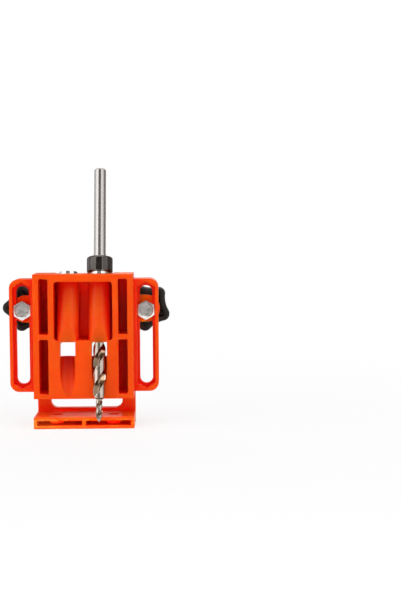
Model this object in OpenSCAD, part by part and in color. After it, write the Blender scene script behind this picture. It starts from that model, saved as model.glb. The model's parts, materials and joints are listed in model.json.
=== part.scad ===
// Pocket hole jig: a moulded drill block that slides up and down on a moulded base frame,
// held by two bolts with star knobs, with a stepped drill standing in its right guide.
// Millimetres, +Z up. The origin is the centre of the foot's underside, and the front
// of the jig, which the work is clamped against, faces -Y.

/* [Foot] */
// Width of the foot
foot_w = 76.6; // [74:0.1:90]
// Depth of the foot from its front to the back of the upright
foot_d = 37; // [36:0.5:48]
// Height of the foot
foot_h = 9; // [8:0.5:14]
// Thickness of the foot's walls
foot_wall = 2.6; // [1.8:0.1:3]
// Thickness of the rib between the foot's two pockets
foot_rib = 2.8; // [2:0.1:6]
// Distance between the two bench screws
screw_spacing = 44; // [30:0.5:50]
// Diameter of a bench screw hole
screw_hole_d = 5.5; // [4:0.1:6.5]
// Diameter of the countersink at its mouth
screw_head_d = 10; // [8:0.1:10.5]
// Diameter of the boss round a screw hole
screw_boss_d = 11; // [10.8:0.1:14]

/* [Upright] */
// Thickness of the upright
upright_t = 6.5; // [5:0.25:9]
// Width of the window in the upright
window_w = 56; // [40:0.5:60]
// Height of the sill between the foot and the window
window_sill = 2.5; // [1:0.25:8]
// Radius of the window's corners
window_r = 5.5; // [2:0.25:10]
// Radius of the round ear about each bolt
ear_r = 10.5; // [9.2:0.25:14]
// Radius of the fillet under each ear
ear_fillet = 4; // [1:0.25:6]

/* [Drill block] */
// Width of the block without its wings
block_w = 76; // [74:0.5:80]
// Height of the block
block_h = 95; // [90:0.5:110]
// Depth of the block
block_d = 30; // [29:0.5:34]
// Height of the block's underside above the foot
block_lift = 14; // [4:0.5:14.5]
// Gap between the block's back and the upright
slide_gap = 0.3; // [0.1:0.05:0.6]
// Thickness of the block's outer side walls
side_wall = 4.5; // [3:0.1:6]
// Width of the narrow side pockets
side_pocket_w = 6.9; // [4:0.1:8]
// Thickness of the wall between a side pocket and the middle pocket
inner_wall = 4.4; // [3:0.1:5]
// Thickness of the wall above the upper side pockets
side_top_wall = 3.7; // [2:0.1:8]
// Thickness of the wall below the lower side pockets
bottom_wall = 3.8; // [2:0.1:8]
// Thickness of the rib between upper and lower side pockets
cross_rib = 4.1; // [2:0.1:8]
// Height of the cross rib's underside above the block's underside
cross_rib_z = 45.2; // [38:0.1:52]
// Thickness of the wall behind the front pockets
back_wall = 4; // [2.5:0.1:5]
// Radius of a side pocket's corners
side_pocket_r = 1.3; // [0.5:0.1:1.9]
// Thickness of the wall above the middle pocket
middle_top_wall = 5.8; // [4:0.1:9]
// Height of the middle pocket's floor above the block's underside
middle_floor_z = 44.6; // [44.2:0.1:50]
// Radius of the middle pocket's corners
middle_pocket_r = 2.5; // [1:0.1:4]
// Thickness of the lower front panel
panel_t = 4; // [3:0.1:6]
// Thickness of the wall between the middle pocket and the hollow behind the panel
middle_floor_t = 3.6; // [2:0.1:5]

/* [Drill guides] */
// Angle of the guides to the front face
guide_angle = 15; // [13.5:0.25:15.5]
// Distance between the two guide axes
guide_spacing = 24; // [21:0.25:26]
// Height above the block's underside where a guide axis meets the front face
guide_cross_z = 24.2; // [23:0.1:30]
// Outer diameter of a guide tube
tube_d = 16.5; // [15.6:0.1:18]
// Diameter of the clearance bore between a bushing and its chip window
clear_bore_d = 10; // [9.8:0.1:12]
// Diameter of the open channel below a chip window
chip_channel_d = 11.4; // [10:0.1:12]
// Width of a chip window
chip_w = 11.8; // [10:0.1:15]
// Height of a chip window
chip_h = 11.4; // [6:0.1:12]
// Height of a chip window's sill above the block's underside
chip_z = 32; // [29:0.1:32.4]

/* [Guide bushings] */
// Outer diameter of a bushing's sleeve
bushing_d = 12.5; // [12.2:0.1:13.4]
// Length of the sleeve below the flange
bushing_l = 30; // [20:0.5:34]
// Diameter of the flange
flange_d = 14; // [13.6:0.1:15]
// Thickness of the flange
flange_t = 2.5; // [1.5:0.1:3]
// Height of the flange's top over the block's top, measured along the guide
flange_rise = 0.6; // [0.2:0.05:1.5]
// Chamfer at the mouth of the bushing's bore
bushing_chamfer = 0.6; // [0.2:0.1:1]
// Clearance all round between a bushing and its seat
seat_clear = 0.03; // [0.02:0.01:0.1]
// Clearance all round between the drill and a bushing or the collar
drill_clear = 0.05; // [0.02:0.01:0.09]

/* [Wings] */
// Width of a wing
wing_w = 19; // [18.4:0.1:22]
// Distance from the block's front to a wing's front
wing_setback = 10; // [6:0.25:12]
// Distance from the block's top and underside to a wing's ends
wing_inset = 4.2; // [2:0.1:5]
// Radius of a wing's outer corners
wing_r = 7; // [3:0.25:8]
// Width of the slot for a bolt
slot_w = 9.8; // [8.6:0.1:10.6]
// Travel of a bolt along its slot
slot_travel = 66; // [60:0.5:66.4]
// Depth of the channel that holds a bolt's head
channel_d = 7; // [5.6:0.1:8]
// Thickness of the slotted floor between the front and back channels
channel_floor = 4; // [3:0.1:6]
// Clearance on each side of a bolt's head in its channel
head_clear = 0.4; // [0.1:0.05:0.6]

/* [Clamp bolts] */
// Height of the bolts above the foot's underside
bolt_z = 89.5; // [86:0.25:91]
// Diameter of a bolt
bolt_d = 8; // [6:0.1:8.4]
// Length of a bolt under its head
bolt_l = 35; // [31:0.5:36]
// Width across the flats of a bolt's head
head_af = 13; // [11:0.1:13.4]
// Height of a bolt's head
head_h = 5.3; // [4:0.1:5.5]
// Depth of the dished top of a bolt's head
head_dish = 0.4; // [0.2:0.05:0.8]
// Clearance all round between a bolt and its hole in the ear
hole_clear = 0.25; // [0.1:0.05:0.5]
// Clearance all round between a bolt and the insert in its knob
thread_clear = 0.06; // [0.02:0.01:0.09]
// Gap between pieces that are clamped together
clamp_gap = 0.05; // [0.02:0.01:0.2]
// Outer diameter of a washer
washer_d = 16; // [14:0.1:18]
// Thickness of a washer
washer_t = 1.6; // [1:0.1:2]

/* [Star knobs] */
// Radius of a knob to the tips of its lobes
knob_tip_r = 19.2; // [16.5:0.1:20]
// Depth of the hollows between a knob's lobes
knob_dip = 4; // [3.6:0.1:5.5]
// Radius of a lobe's round tip
knob_lobe_r = 5.2; // [4:0.1:6]
// Thickness of the lobed body
knob_t = 13; // [11:0.25:16]
// Thickness of the rim round the hollow underside
knob_rim = 2.6; // [1.8:0.1:3]
// Depth of the hollow underside
knob_hollow = 7; // [4:0.25:8]
// Diameter of the knob's hub
knob_hub_d = 18; // [14:0.1:20]
// Height of the hub in front of the lobed body
knob_hub_h = 4; // [2:0.25:6]
// Bevel round the knob's front and back
knob_bevel = 2; // [0.5:0.1:3]
// Turn of the left knob
left_knob_turn = 180; // [0:0.5:360]
// Turn of the right knob
right_knob_turn = 47.5; // [0:0.5:360]
// Outer diameter of a knob's insert
insert_d = 11; // [10.2:0.1:12]
// Length of a knob's insert
insert_l = 11; // [8:0.25:13]

/* [Drill bit] */
// Diameter of the drill
drill_d = 9.5; // [9:0.05:9.8]
// Diameter of the free end of its shank
shank_d = 9.1; // [8:0.05:9.15]
// Length of the whole drill
drill_l = 198; // [180:0.5:210]
// Length of the drill below the collar
drill_reach = 115.5; // [100:0.5:120]
// Length of the pilot below the step
pilot_l = 17; // [10:0.5:25]
// Diameter of the pilot
pilot_d = 5; // [3:0.1:6]
// Length of the fluted body above the step
flute_l = 64; // [50:0.5:64.5]
// Distance along the drill in which a flute makes one turn
flute_lead = 42; // [35:0.5:60]
// Thickness of the web between the two flutes
flute_web = 1.9; // [1.2:0.1:3]
// Included angle of the drill's point
point_angle = 118; // [90:1:135]
// Included angle of the step's shoulder
step_angle = 135; // [90:1:150]
// Chamfer at the top of the shank
shank_chamfer = 1; // [0.3:0.1:2]

/* [Stop collar] */
// Outer diameter of the collar
collar_d = 20; // [18:0.1:20.4]
// Height of the collar
collar_h = 11.5; // [9:0.25:14]
// Radius of the collar's upper edge
collar_edge_r = 1.6; // [0.5:0.1:2.5]
// Length of bare body above the collar before the shank's free end
collar_margin = 3; // [1:0.25:8]
// Diameter of the set screw
set_screw_d = 5; // [4:0.1:6]
// Length of the set screw
set_screw_l = 4.6; // [3.5:0.1:4.6]
// Width across the flats of its hex socket
set_screw_af = 2.5; // [2:0.1:3]
// Turn of the set screw about the drill, from the back
set_screw_turn = 20; // [-60:1:60]

/* [Hidden] */

$fn = 64;
LEFT = -1;
RIGHT = 1;
// Overlap of a cut past the face that it opens
cut = 1;

orange = "orangered";
steel = "silver";
black = "dimgray";

// Foot and upright
foot_front = -foot_d / 2;
upright_back = foot_d / 2;
upright_front = upright_back - upright_t;
screw_y = (foot_front + upright_front) / 2;
screw_sink = (screw_head_d - screw_hole_d) / 2;
window_z = foot_h + window_sill;
ear_under = bolt_z - ear_r;

// Block
block_back = upright_front - slide_gap;
block_front = block_back - block_d;
block_z = foot_h + block_lift;
block_top = block_z + block_h;
pocket_back = block_back - back_wall;
side_pocket_x = block_w / 2 - side_wall - side_pocket_w;
middle_x = side_pocket_x - inner_wall;
hollow_top = block_z + middle_floor_z - middle_floor_t;

// Drill guides: s is the distance along a guide's axis from the block's front face
guide_x = guide_spacing / 2;
guide_z = block_z + guide_cross_z;
top_s = (block_top - guide_z) / cos(guide_angle);
stop_s = top_s + flange_rise;
seat_s = stop_s - flange_t;
chip_s = (block_z + chip_z + chip_h / 2 - guide_z) / cos(guide_angle);
landing_drop = 0.5;
landing_margin = 0.8;
landing_x = guide_x + collar_d / 2 + landing_margin;
bushing_bore_d = drill_d + 2 * drill_clear;

// Wings and bolts
bolt_x = block_w / 2 + wing_w / 2;
wing_front = block_front + wing_setback;
wing_z0 = block_z + wing_inset;
wing_z1 = block_top - wing_inset;
slot_z = block_z + block_h / 2;
head_seat = wing_front + channel_d;
floor_back = head_seat + channel_floor;
channel_w = head_af + 2 * head_clear;

// A bolt head's round face and its dish, as shares of the width across the flats
head_face = 0.96;
head_dish_w = 0.78;
bolt_chamfer = 1;

// Knobs
knob_front = upright_back + washer_t + 2 * clamp_gap;
knob_l = knob_hub_h + knob_t;
knob_hole_clear = 0.4;
knob_hub_draft = 0.5;
lobes = 5;

// Drill
drill_tip_s = stop_s - drill_reach;
drill_top_s = drill_tip_s + drill_l;
step_s = drill_tip_s + pilot_l;
// Length in which the flutes run out, and the tapered root above them inside the shank
flute_runout = 10;
flute_root = 1;
shank_s = step_s + flute_l - flute_root / 2;
free_shank_s = stop_s + collar_h + collar_margin;

// Places and helpers

// A flat outline, drawn in X and Z, given a thickness from y0 to y1
module slab(y0, y1) {
    translate([0, y1, 0]) rotate([90, 0, 0]) linear_extrude(y1 - y0) children();
}

// A rectangle with round corners
module round_rect(x0, x1, z0, z1, r) {
    translate([x0 + r, z0]) square([x1 - x0 - 2 * r, z1 - z0]);
    translate([x0, z0 + r]) square([x1 - x0, z1 - z0 - 2 * r]);
    for (x = [x0 + r, x1 - r], z = [z0 + r, z1 - r]) translate([x, z]) circle(r);
}

// Everything inside is placed with its Z along a guide, starting at the block's front face
module on_guide(side) {
    translate([side * guide_x, block_front, guide_z]) rotate([-guide_angle, 0, 0]) children();
}

// Everything inside is placed with its Z along a bolt, pointing to the back
module on_bolt(side) {
    translate([side * bolt_x, 0, bolt_z]) rotate([-90, 0, 0]) children();
}

module ring(outer_d, inner_d, h) {
    difference() {
        cylinder(d = outer_d, h = h);
        translate([0, 0, -cut]) cylinder(d = inner_d, h = h + 2 * cut);
    }
}

// Base frame

module upright_outline() {
    difference() {
        union() {
            translate([-foot_w / 2, 0]) square([foot_w, bolt_z]);
            translate([-bolt_x, ear_under]) square([2 * bolt_x, 2 * ear_r]);
            for (side = [LEFT, RIGHT]) {
                translate([side * bolt_x, bolt_z]) circle(ear_r);
                scale([side, 1]) translate([foot_w / 2, ear_under]) ear_fillet_outline();
            }
        }
        round_rect(-window_w / 2, window_w / 2, window_z, ear_under, window_r);
    }
}

module ear_fillet_outline() {
    difference() {
        translate([0, -ear_fillet]) square(ear_fillet);
        translate([ear_fillet, -ear_fillet]) circle(ear_fillet);
    }
}

module foot_pocket(side) {
    length = upright_front - foot_wall - foot_front;
    width = foot_w / 2 - foot_wall - foot_rib / 2;
    x0 = side == RIGHT ? foot_rib / 2 : -foot_rib / 2 - width;
    translate([x0, foot_front - cut, foot_wall])
        cube([width, length + cut, foot_h - 2 * foot_wall]);
}

module base_frame() {
    color(orange) difference() {
        union() {
            difference() {
                translate([-foot_w / 2, foot_front, 0])
                    cube([foot_w, upright_front - foot_front + cut, foot_h]);
                for (side = [LEFT, RIGHT]) foot_pocket(side);
            }
            for (side = [LEFT, RIGHT])
                translate([side * screw_spacing / 2, screw_y, foot_wall / 2])
                    cylinder(d = screw_boss_d, h = foot_h - foot_wall);
            slab(upright_front, upright_back) upright_outline();
        }
        for (side = [LEFT, RIGHT]) {
            translate([side * screw_spacing / 2, screw_y, -cut])
                cylinder(d = screw_hole_d, h = foot_h + 2 * cut);
            translate([side * screw_spacing / 2, screw_y, foot_h - screw_sink])
                cylinder(d1 = screw_hole_d, d2 = screw_head_d + 2 * cut, h = screw_sink + cut);
            on_bolt(side) translate([0, 0, upright_front - cut])
                cylinder(d = bolt_d + 2 * hole_clear, h = upright_t + 2 * cut);
        }
    }
}

module washer(side) {
    color(steel) on_bolt(side) translate([0, 0, upright_back + clamp_gap])
        ring(washer_d, bolt_d + 2 * hole_clear, washer_t);
}

module washer_left() washer(LEFT);
module washer_right() washer(RIGHT);

// Drill block

module block_shell() {
    difference() {
        translate([-block_w / 2, block_front, block_z]) cube([block_w, block_d, block_h]);
        slab(block_front - cut, pocket_back)
            round_rect(-middle_x, middle_x, block_z + middle_floor_z,
                block_top - middle_top_wall, middle_pocket_r);
        for (side = [LEFT, RIGHT]) slab(block_front - cut, pocket_back) side_pockets(side);
        slab(block_front + panel_t, block_back + cut)
            round_rect(-middle_x, middle_x, block_z + bottom_wall, hollow_top, middle_pocket_r);
    }
}

module side_pockets(side) {
    x0 = side == RIGHT ? side_pocket_x : -side_pocket_x - side_pocket_w;
    rib_z = block_z + cross_rib_z;
    round_rect(x0, x0 + side_pocket_w, block_z + bottom_wall, rib_z, side_pocket_r);
    round_rect(x0, x0 + side_pocket_w, rib_z + cross_rib, block_top - side_top_wall, side_pocket_r);
}

module guide_tubes() {
    intersection() {
        translate([-block_w / 2, block_front, block_z]) cube([block_w, block_d, block_h]);
        for (side = [LEFT, RIGHT])
            on_guide(side) translate([0, 0, -block_h / 2]) cylinder(d = tube_d, h = 2 * block_h);
    }
}

// The seat of a bushing, the bore below it that clears the drill, and the open channel
// below the chip window
module guide_bore(side) {
    on_guide(side) {
        cylinder(d = clear_bore_d, h = block_h);
        translate([0, 0, -block_h]) cylinder(d = chip_channel_d, h = block_h + chip_s);
        translate([0, 0, seat_s - bushing_l])
            cylinder(d = bushing_d + 2 * seat_clear, h = block_h);
        translate([0, 0, seat_s]) cylinder(d = flange_d + 2 * seat_clear, h = block_h);
    }
}

// The slope behind the bushings, square to the guides, that the collar clears
module landing() {
    translate([0, block_front, guide_z]) rotate([-guide_angle, 0, 0])
        translate([-landing_x, 0, stop_s - landing_drop]) cube([2 * landing_x, block_h, block_h]);
}

module chip_window(side) {
    translate([side * guide_x - chip_w / 2, block_front - cut, block_z + chip_z])
        cube([chip_w, block_d + 2 * cut, chip_h]);
}

module wing_outline(side) {
    outer_x = block_w / 2 + wing_w;
    inner_x = block_w / 2 - side_wall;
    scale([side, 1]) {
        round_rect(inner_x, outer_x, wing_z0, wing_z1, wing_r);
        translate([inner_x, wing_z0]) square([outer_x - inner_x - wing_r, wing_z1 - wing_z0]);
    }
}

// The long channel with V-shaped ends that keeps a hex head from turning
module channel_outline(side) {
    half = channel_w / 2;
    shoulder = half * tan(30);
    tip = half / cos(30);
    reach = slot_travel / 2;
    translate([side * bolt_x, slot_z]) polygon([
        [half, -reach - shoulder], [half, reach + shoulder], [0, reach + tip],
        [-half, reach + shoulder], [-half, -reach - shoulder], [0, -reach - tip]]);
}

module slot_outline(side) {
    translate([side * bolt_x, slot_z]) {
        square([slot_w, slot_travel], center = true);
        for (end = [-1, 1]) translate([0, end * slot_travel / 2]) circle(d = slot_w);
    }
}

module drill_block() {
    color(orange) difference() {
        union() {
            block_shell();
            guide_tubes();
            for (side = [LEFT, RIGHT]) slab(wing_front, block_back) wing_outline(side);
        }
        for (side = [LEFT, RIGHT]) {
            slab(wing_front - cut, head_seat) channel_outline(side);
            slab(head_seat - cut, floor_back + cut) slot_outline(side);
            slab(floor_back, block_back + cut) channel_outline(side);
            guide_bore(side);
            chip_window(side);
        }
        landing();
    }
}

module guide_bushing(side) {
    length = bushing_l + flange_t;
    color(steel) on_guide(side) translate([0, 0, seat_s]) difference() {
        union() {
            translate([0, 0, -bushing_l]) cylinder(d = bushing_d, h = length);
            cylinder(d = flange_d, h = flange_t);
        }
        translate([0, 0, -bushing_l - cut]) cylinder(d = bushing_bore_d, h = length + 2 * cut);
        translate([0, 0, flange_t - bushing_chamfer])
            cylinder(d1 = bushing_bore_d, d2 = bushing_bore_d + 2 * (bushing_chamfer + cut),
                h = bushing_chamfer + cut);
    }
}

module guide_bushing_left() guide_bushing(LEFT);
module guide_bushing_right() guide_bushing(RIGHT);

// Clamp bolts and star knobs

// A hex head with a point up, its corners cut to a round face by a 30 degree cone
module bolt_head() {
    corner = head_af / cos(30);
    face_r = head_face * head_af / 2;
    intersection() {
        rotate([0, 0, 90]) cylinder(d = corner, h = head_h, $fn = 6);
        rotate_extrude() polygon([[0, 0], [face_r, 0], [corner, (corner - face_r) * tan(30)],
            [corner, head_h], [0, head_h]]);
    }
}

module clamp_bolt(side) {
    color(steel) on_bolt(side) translate([0, 0, head_seat - clamp_gap]) {
        difference() {
            translate([0, 0, -head_h]) bolt_head();
            translate([0, 0, -head_h - cut]) cylinder(d = head_dish_w * head_af, h = head_dish + cut);
        }
        translate([0, 0, -head_h / 2])
            cylinder(d = bolt_d, h = bolt_l + head_h / 2 - bolt_chamfer);
        translate([0, 0, bolt_l - bolt_chamfer])
            cylinder(d1 = bolt_d, d2 = bolt_d - 2 * bolt_chamfer, h = bolt_chamfer);
    }
}

module clamp_bolt_left() clamp_bolt(LEFT);
module clamp_bolt_right() clamp_bolt(RIGHT);

// Outline of the knob, moved inwards by inset: round lobes joined by hollow arcs that meet
// them smoothly
function knob_points(inset) =
    let (tip = knob_tip_r, lobe = knob_lobe_r, waist = knob_tip_r - knob_dip,
        half = 180 / lobes,
        lobe_at = tip - lobe,
        hollow_at = (lobe_at ^ 2 - (lobe - waist) ^ 2) / (2 * (lobe - waist) + 2 * lobe_at * cos(half)),
        hollow_r = hollow_at - waist,
        // Half the angle of a lobe's arc, and of a hollow arc
        dx = hollow_at * cos(half) - lobe_at,
        dy = hollow_at * sin(half),
        lobe_end = atan2(dy, dx),
        hollow_end = lobe_end - half)
    [for (i = [0 : lobes - 1])
        each concat(
            [for (k = [-4 : 4]) let (a = k / 4 * lobe_end)
                turned(i * 2 * half, [lobe_at + (lobe - inset) * cos(a), (lobe - inset) * sin(a)])],
            [for (k = [-2 : 2]) let (a = half + 180 - k / 3 * hollow_end)
                turned(i * 2 * half, [hollow_at * cos(half) + (hollow_r + inset) * cos(a),
                    hollow_at * sin(half) + (hollow_r + inset) * sin(a)])])];

function turned(a, p) = [p[0] * cos(a) - p[1] * sin(a), p[0] * sin(a) + p[1] * cos(a)];

module knob(side, turn) {
    color(black) on_bolt(side) translate([0, 0, knob_front]) difference() {
        union() {
            translate([0, 0, knob_hub_h]) intersection() {
                rotate([0, 0, -turn]) linear_extrude(knob_t) polygon(knob_points(0));
                rotate_extrude() polygon([[0, 0], [knob_tip_r - knob_bevel, 0], [knob_tip_r, knob_bevel],
                    [knob_tip_r, knob_t - knob_bevel], [knob_tip_r - knob_bevel, knob_t], [0, knob_t]]);
            }
            cylinder(d1 = knob_hub_d - 2 * knob_hub_draft, d2 = knob_hub_d, h = knob_hub_h + cut);
        }
        difference() {
            translate([0, 0, knob_hub_h - cut]) rotate([0, 0, -turn])
                linear_extrude(knob_hollow + cut) polygon(knob_points(knob_rim));
            translate([0, 0, -cut]) cylinder(d = knob_hub_d, h = knob_l);
        }
        translate([0, 0, -cut]) cylinder(d = insert_d + 2 * seat_clear, h = insert_l + cut);
        translate([0, 0, -cut]) cylinder(d = bolt_d + 2 * knob_hole_clear, h = knob_l + 2 * cut);
    }
}

module knob_left() knob(LEFT, left_knob_turn);
module knob_right() knob(RIGHT, right_knob_turn);

module knob_insert(side) {
    color("goldenrod") on_bolt(side) translate([0, 0, knob_front])
        ring(insert_d, bolt_d + 2 * thread_clear, insert_l);
}

module knob_insert_left() knob_insert(LEFT);
module knob_insert_right() knob_insert(RIGHT);

// Drill and stop collar

module stop_collar() {
    bore_r = drill_d / 2 + drill_clear;
    r = collar_d / 2;
    color(black) on_guide(RIGHT) translate([0, 0, stop_s + clamp_gap]) difference() {
        union() {
            cylinder(d = collar_d, h = collar_h - collar_edge_r);
            rotate_extrude() {
                square([r - collar_edge_r, collar_h]);
                intersection() {
                    translate([r - collar_edge_r, collar_h - collar_edge_r]) circle(collar_edge_r);
                    translate([0, collar_h - collar_edge_r]) square(collar_d);
                }
            }
        }
        translate([0, 0, -cut]) cylinder(r = bore_r, h = collar_h + 2 * cut);
        in_collar() cylinder(d = set_screw_d + 2 * seat_clear, h = collar_d);
    }
}

// Everything inside is placed with its Z along the set screw, starting at the drill's axis
module in_collar() {
    translate([0, 0, collar_h / 2]) rotate([0, 0, set_screw_turn]) rotate([-90, 0, 0]) children();
}

module collar_set_screw() {
    tip_r = drill_d / 2 + drill_clear;
    socket_depth = set_screw_l / 2;
    color(steel) on_guide(RIGHT) translate([0, 0, stop_s + clamp_gap]) in_collar()
        translate([0, 0, tip_r]) difference() {
            cylinder(d = set_screw_d, h = set_screw_l);
            translate([0, 0, set_screw_l - socket_depth])
                cylinder(d = set_screw_af / cos(30), h = socket_depth + cut, $fn = 6);
        }
}

// Cross section of the drill, as a share of its radius at the angle a: two round flutes
// either side of a web, with lands between them
flute_r = 0.72;
chisel_share = 0.12;
root_share = 0.9;
flute_at = flute_web / drill_d + flute_r;
flute_open = acos((flute_at ^ 2 + 1 - flute_r ^ 2) / (2 * flute_at));
flute_steps = 8;
land_steps = 6;
section_angles = [for (half = [0, 180]) each concat(
    [for (k = [0 : flute_steps - 1]) half - flute_open + 2 * flute_open * k / flute_steps],
    [for (k = [0 : land_steps - 1]) half + flute_open + (180 - 2 * flute_open) * k / land_steps])];

function section_share(a, depth) =
    let (b = (a + 90) % 180 - 90)
    abs(b) < flute_open
        ? 1 - depth * (1 - flute_at * cos(b) + sqrt(flute_r ^ 2 - (flute_at * sin(b)) ^ 2))
        : 1;

// Rings from the point up: [distance along the drill from its tip, radius, depth of the flutes]
function drill_rings() =
    let (pilot_r = pilot_d / 2, body_r = drill_d / 2,
        chisel_r = pilot_r * chisel_share,
        point_h = (pilot_r - chisel_r) / tan(point_angle / 2),
        step_h = (body_r - pilot_r) / tan(step_angle / 2),
        pilot_rings = 14, body_rings = 44, runout_rings = 5,
        flutes_end = pilot_l + flute_l - flute_root,
        runout_from = flutes_end - flute_runout)
    concat(
        [[0, chisel_r, 1]],
        [for (k = [0 : pilot_rings])
            [point_h + (pilot_l - point_h) * k / pilot_rings, pilot_r, 1]],
        [for (k = [0 : body_rings])
            [pilot_l + step_h + (runout_from - pilot_l - step_h) * k / body_rings, body_r, 1]],
        [for (k = [1 : runout_rings])
            [runout_from + flute_runout * k / runout_rings, body_r, cos(90 * k / runout_rings)]],
        [[pilot_l + flute_l, body_r * root_share, 0]]);

module fluted_body() {
    rings = drill_rings();
    n = len(section_angles);
    last = len(rings) - 1;
    points = [for (ring = rings, a = section_angles)
        let (r = ring[1] * section_share(a, ring[2]), t = a + 360 * ring[0] / flute_lead)
        [r * cos(t), r * sin(t), ring[0]]];
    sides = [for (i = [0 : last - 1], j = [0 : n - 1])
        let (p = i * n + j, q = i * n + (j + 1) % n)
        each [[p, p + n, q + n], [p, q + n, q]]];
    ends = [[for (j = [0 : n - 1]) j], [for (j = [n - 1 : -1 : 0]) last * n + j]];
    polyhedron(points, concat(sides, ends));
}

module drill_bit() {
    color(steel) on_guide(RIGHT) {
        translate([0, 0, drill_tip_s]) fluted_body();
        rotate_extrude() polygon([[0, shank_s], [drill_d / 2, shank_s], [drill_d / 2, free_shank_s],
            [shank_d / 2, free_shank_s], [shank_d / 2, drill_top_s - shank_chamfer],
            [shank_d / 2 - shank_chamfer, drill_top_s], [0, drill_top_s]]);
    }
}

base_frame();
washer_left();
washer_right();
drill_block();
guide_bushing_left();
guide_bushing_right();
clamp_bolt_left();
clamp_bolt_right();
knob_left();
knob_right();
knob_insert_left();
knob_insert_right();
stop_collar();
collar_set_screw();
drill_bit();
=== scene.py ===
# %% [markdown]
# # A pocket hole jig
# The jig guides a stepped drill into a board at a shallow slope. Its drill block is an orange
# moulding full of weight-saving pockets, and it slides on an upright base and is clamped
# there by two bolts with star knobs. The CAD frame gives every solid in its true place, so
# this lesson only rounds the edges, models the fine shapes and makes the finishes.

# %% Load the frame
import json
import math

import bmesh
import bpy
from mathutils import Matrix, Vector


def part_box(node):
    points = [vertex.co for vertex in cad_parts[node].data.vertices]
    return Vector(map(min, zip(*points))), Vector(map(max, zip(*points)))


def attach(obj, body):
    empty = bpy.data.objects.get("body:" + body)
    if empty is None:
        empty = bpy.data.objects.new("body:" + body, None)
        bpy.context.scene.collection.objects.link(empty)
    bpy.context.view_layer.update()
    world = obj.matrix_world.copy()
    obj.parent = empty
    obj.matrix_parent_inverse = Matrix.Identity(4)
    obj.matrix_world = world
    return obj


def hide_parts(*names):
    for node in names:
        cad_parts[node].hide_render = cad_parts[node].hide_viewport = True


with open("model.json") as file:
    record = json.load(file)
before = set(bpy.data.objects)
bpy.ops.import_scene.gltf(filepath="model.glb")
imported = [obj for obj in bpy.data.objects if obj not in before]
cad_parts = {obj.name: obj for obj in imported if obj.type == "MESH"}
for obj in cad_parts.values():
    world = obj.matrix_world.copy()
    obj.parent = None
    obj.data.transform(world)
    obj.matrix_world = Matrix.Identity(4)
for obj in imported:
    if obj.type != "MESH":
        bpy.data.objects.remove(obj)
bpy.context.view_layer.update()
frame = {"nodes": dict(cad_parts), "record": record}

MM = 0.001
SIDES = ("left", "right")

# %% [markdown]
# ## The camera
# The camera's place and turn were fitted to some thirty points that were measured in the
# photograph, such as the corners of the block and the tip of the drill. The object stands
# left of the picture's middle, so the camera looks past it, and no lens shift is needed.

# %% Place the camera
PICTURE_HEIGHT_PX = 601
FOCAL_PX = 1182
SENSOR_MM = 36
camera_at = Vector((67.3, -912.0, 160.6)) * MM
yaw, pitch, roll = (math.radians(a) for a in (-1.4, 4.04, -0.31))

camera_data = bpy.data.cameras.new("camera")
camera_data.sensor_width = SENSOR_MM
camera_data.lens = SENSOR_MM * FOCAL_PX / PICTURE_HEIGHT_PX
camera = bpy.data.objects.new("camera", camera_data)
turn = (Matrix.Rotation(yaw, 4, "Z") @ Matrix.Rotation(math.pi / 2 - pitch, 4, "X")
        @ Matrix.Rotation(roll, 4, "Z"))
camera.matrix_world = Matrix.Translation(camera_at) @ turn
bpy.context.collection.objects.link(camera)
bpy.context.scene.camera = camera
bpy.context.scene.view_settings.view_transform = "Standard"
print("lens in mm:", round(camera_data.lens, 1))

# %% [markdown]
# ## Shader sums as Python
# A finish is a small sum: a grain, a stain, a mask. Written as node links it is hard to read,
# so one class wraps a socket and lets Python's own signs add the Math nodes. Every other
# node comes from add_node, which sets the node's options first and then its sockets.

# %% A socket that can be added and multiplied
class Wire:
    """A value on its way through a finish."""

    def __init__(self, tree, socket):
        self.tree, self.socket = tree, socket

    def math(self, operation, a, b):
        return add_node(self.tree, "ShaderNodeMath", {"operation": operation}, {0: a, 1: b})

    def __add__(self, other):
        return self.math("ADD", self, other)

    def __sub__(self, other):
        return self.math("SUBTRACT", self, other)

    def __rsub__(self, other):
        return self.math("SUBTRACT", other, self)

    def __mul__(self, other):
        return self.math("MULTIPLY", self, other)

    def __truediv__(self, other):
        return self.math("DIVIDE", self, other)

    __radd__ = __add__
    __rmul__ = __mul__


def add_node(tree, kind, settings, sockets, out=0):
    """Adds a node with its options and sockets set, and gives one of its outputs."""
    node = tree.nodes.new(kind)
    for name, value in settings.items():
        setattr(node, name, value)
    for key, value in sockets.items():
        if isinstance(value, Wire):
            tree.links.new(value.socket, node.inputs[key])
        else:
            node.inputs[key].default_value = value
    return Wire(tree, node.outputs[out])


print("a sum of Wires adds Math nodes")

# %% The nodes that every finish starts with
MIX_SHARE, MIX_FIRST, MIX_SECOND, MIX_COLOUR = 0, 6, 7, 2


def new_finish(name, **constants):
    """A material with one Principled shader, and its values that are the same all over."""
    material = bpy.data.materials.new(name)
    material.use_nodes = True
    shader = material.node_tree.nodes["Principled BSDF"]
    for socket, value in constants.items():
        shader.inputs[socket.replace("_", " ")].default_value = value
    return material, material.node_tree, shader


def feed(tree, shader, **wires):
    for socket, wire in wires.items():
        tree.links.new(wire.socket, shader.inputs[socket.replace("_", " ")])


def noise(tree, where, scale, detail):
    return add_node(tree, "ShaderNodeTexNoise", {},
                    {"Vector": where, "Scale": scale, "Detail": detail})


def step_up(tree, value, low, high):
    """0 below low, 1 above high, and smooth between."""
    return add_node(tree, "ShaderNodeMapRange", {"interpolation_type": "SMOOTHSTEP"},
                    {"Value": value, "From Min": low, "From Max": high})


def colour_mix(tree, share, first, second):
    return add_node(tree, "ShaderNodeMix", {"data_type": "RGBA"},
                    {MIX_SHARE: share, MIX_FIRST: first, MIX_SECOND: second}, out=MIX_COLOUR)


def bump(tree, height, depth, strength):
    return add_node(tree, "ShaderNodeBump", {},
                    {"Height": height, "Distance": depth, "Strength": strength}, out="Normal")


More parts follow.
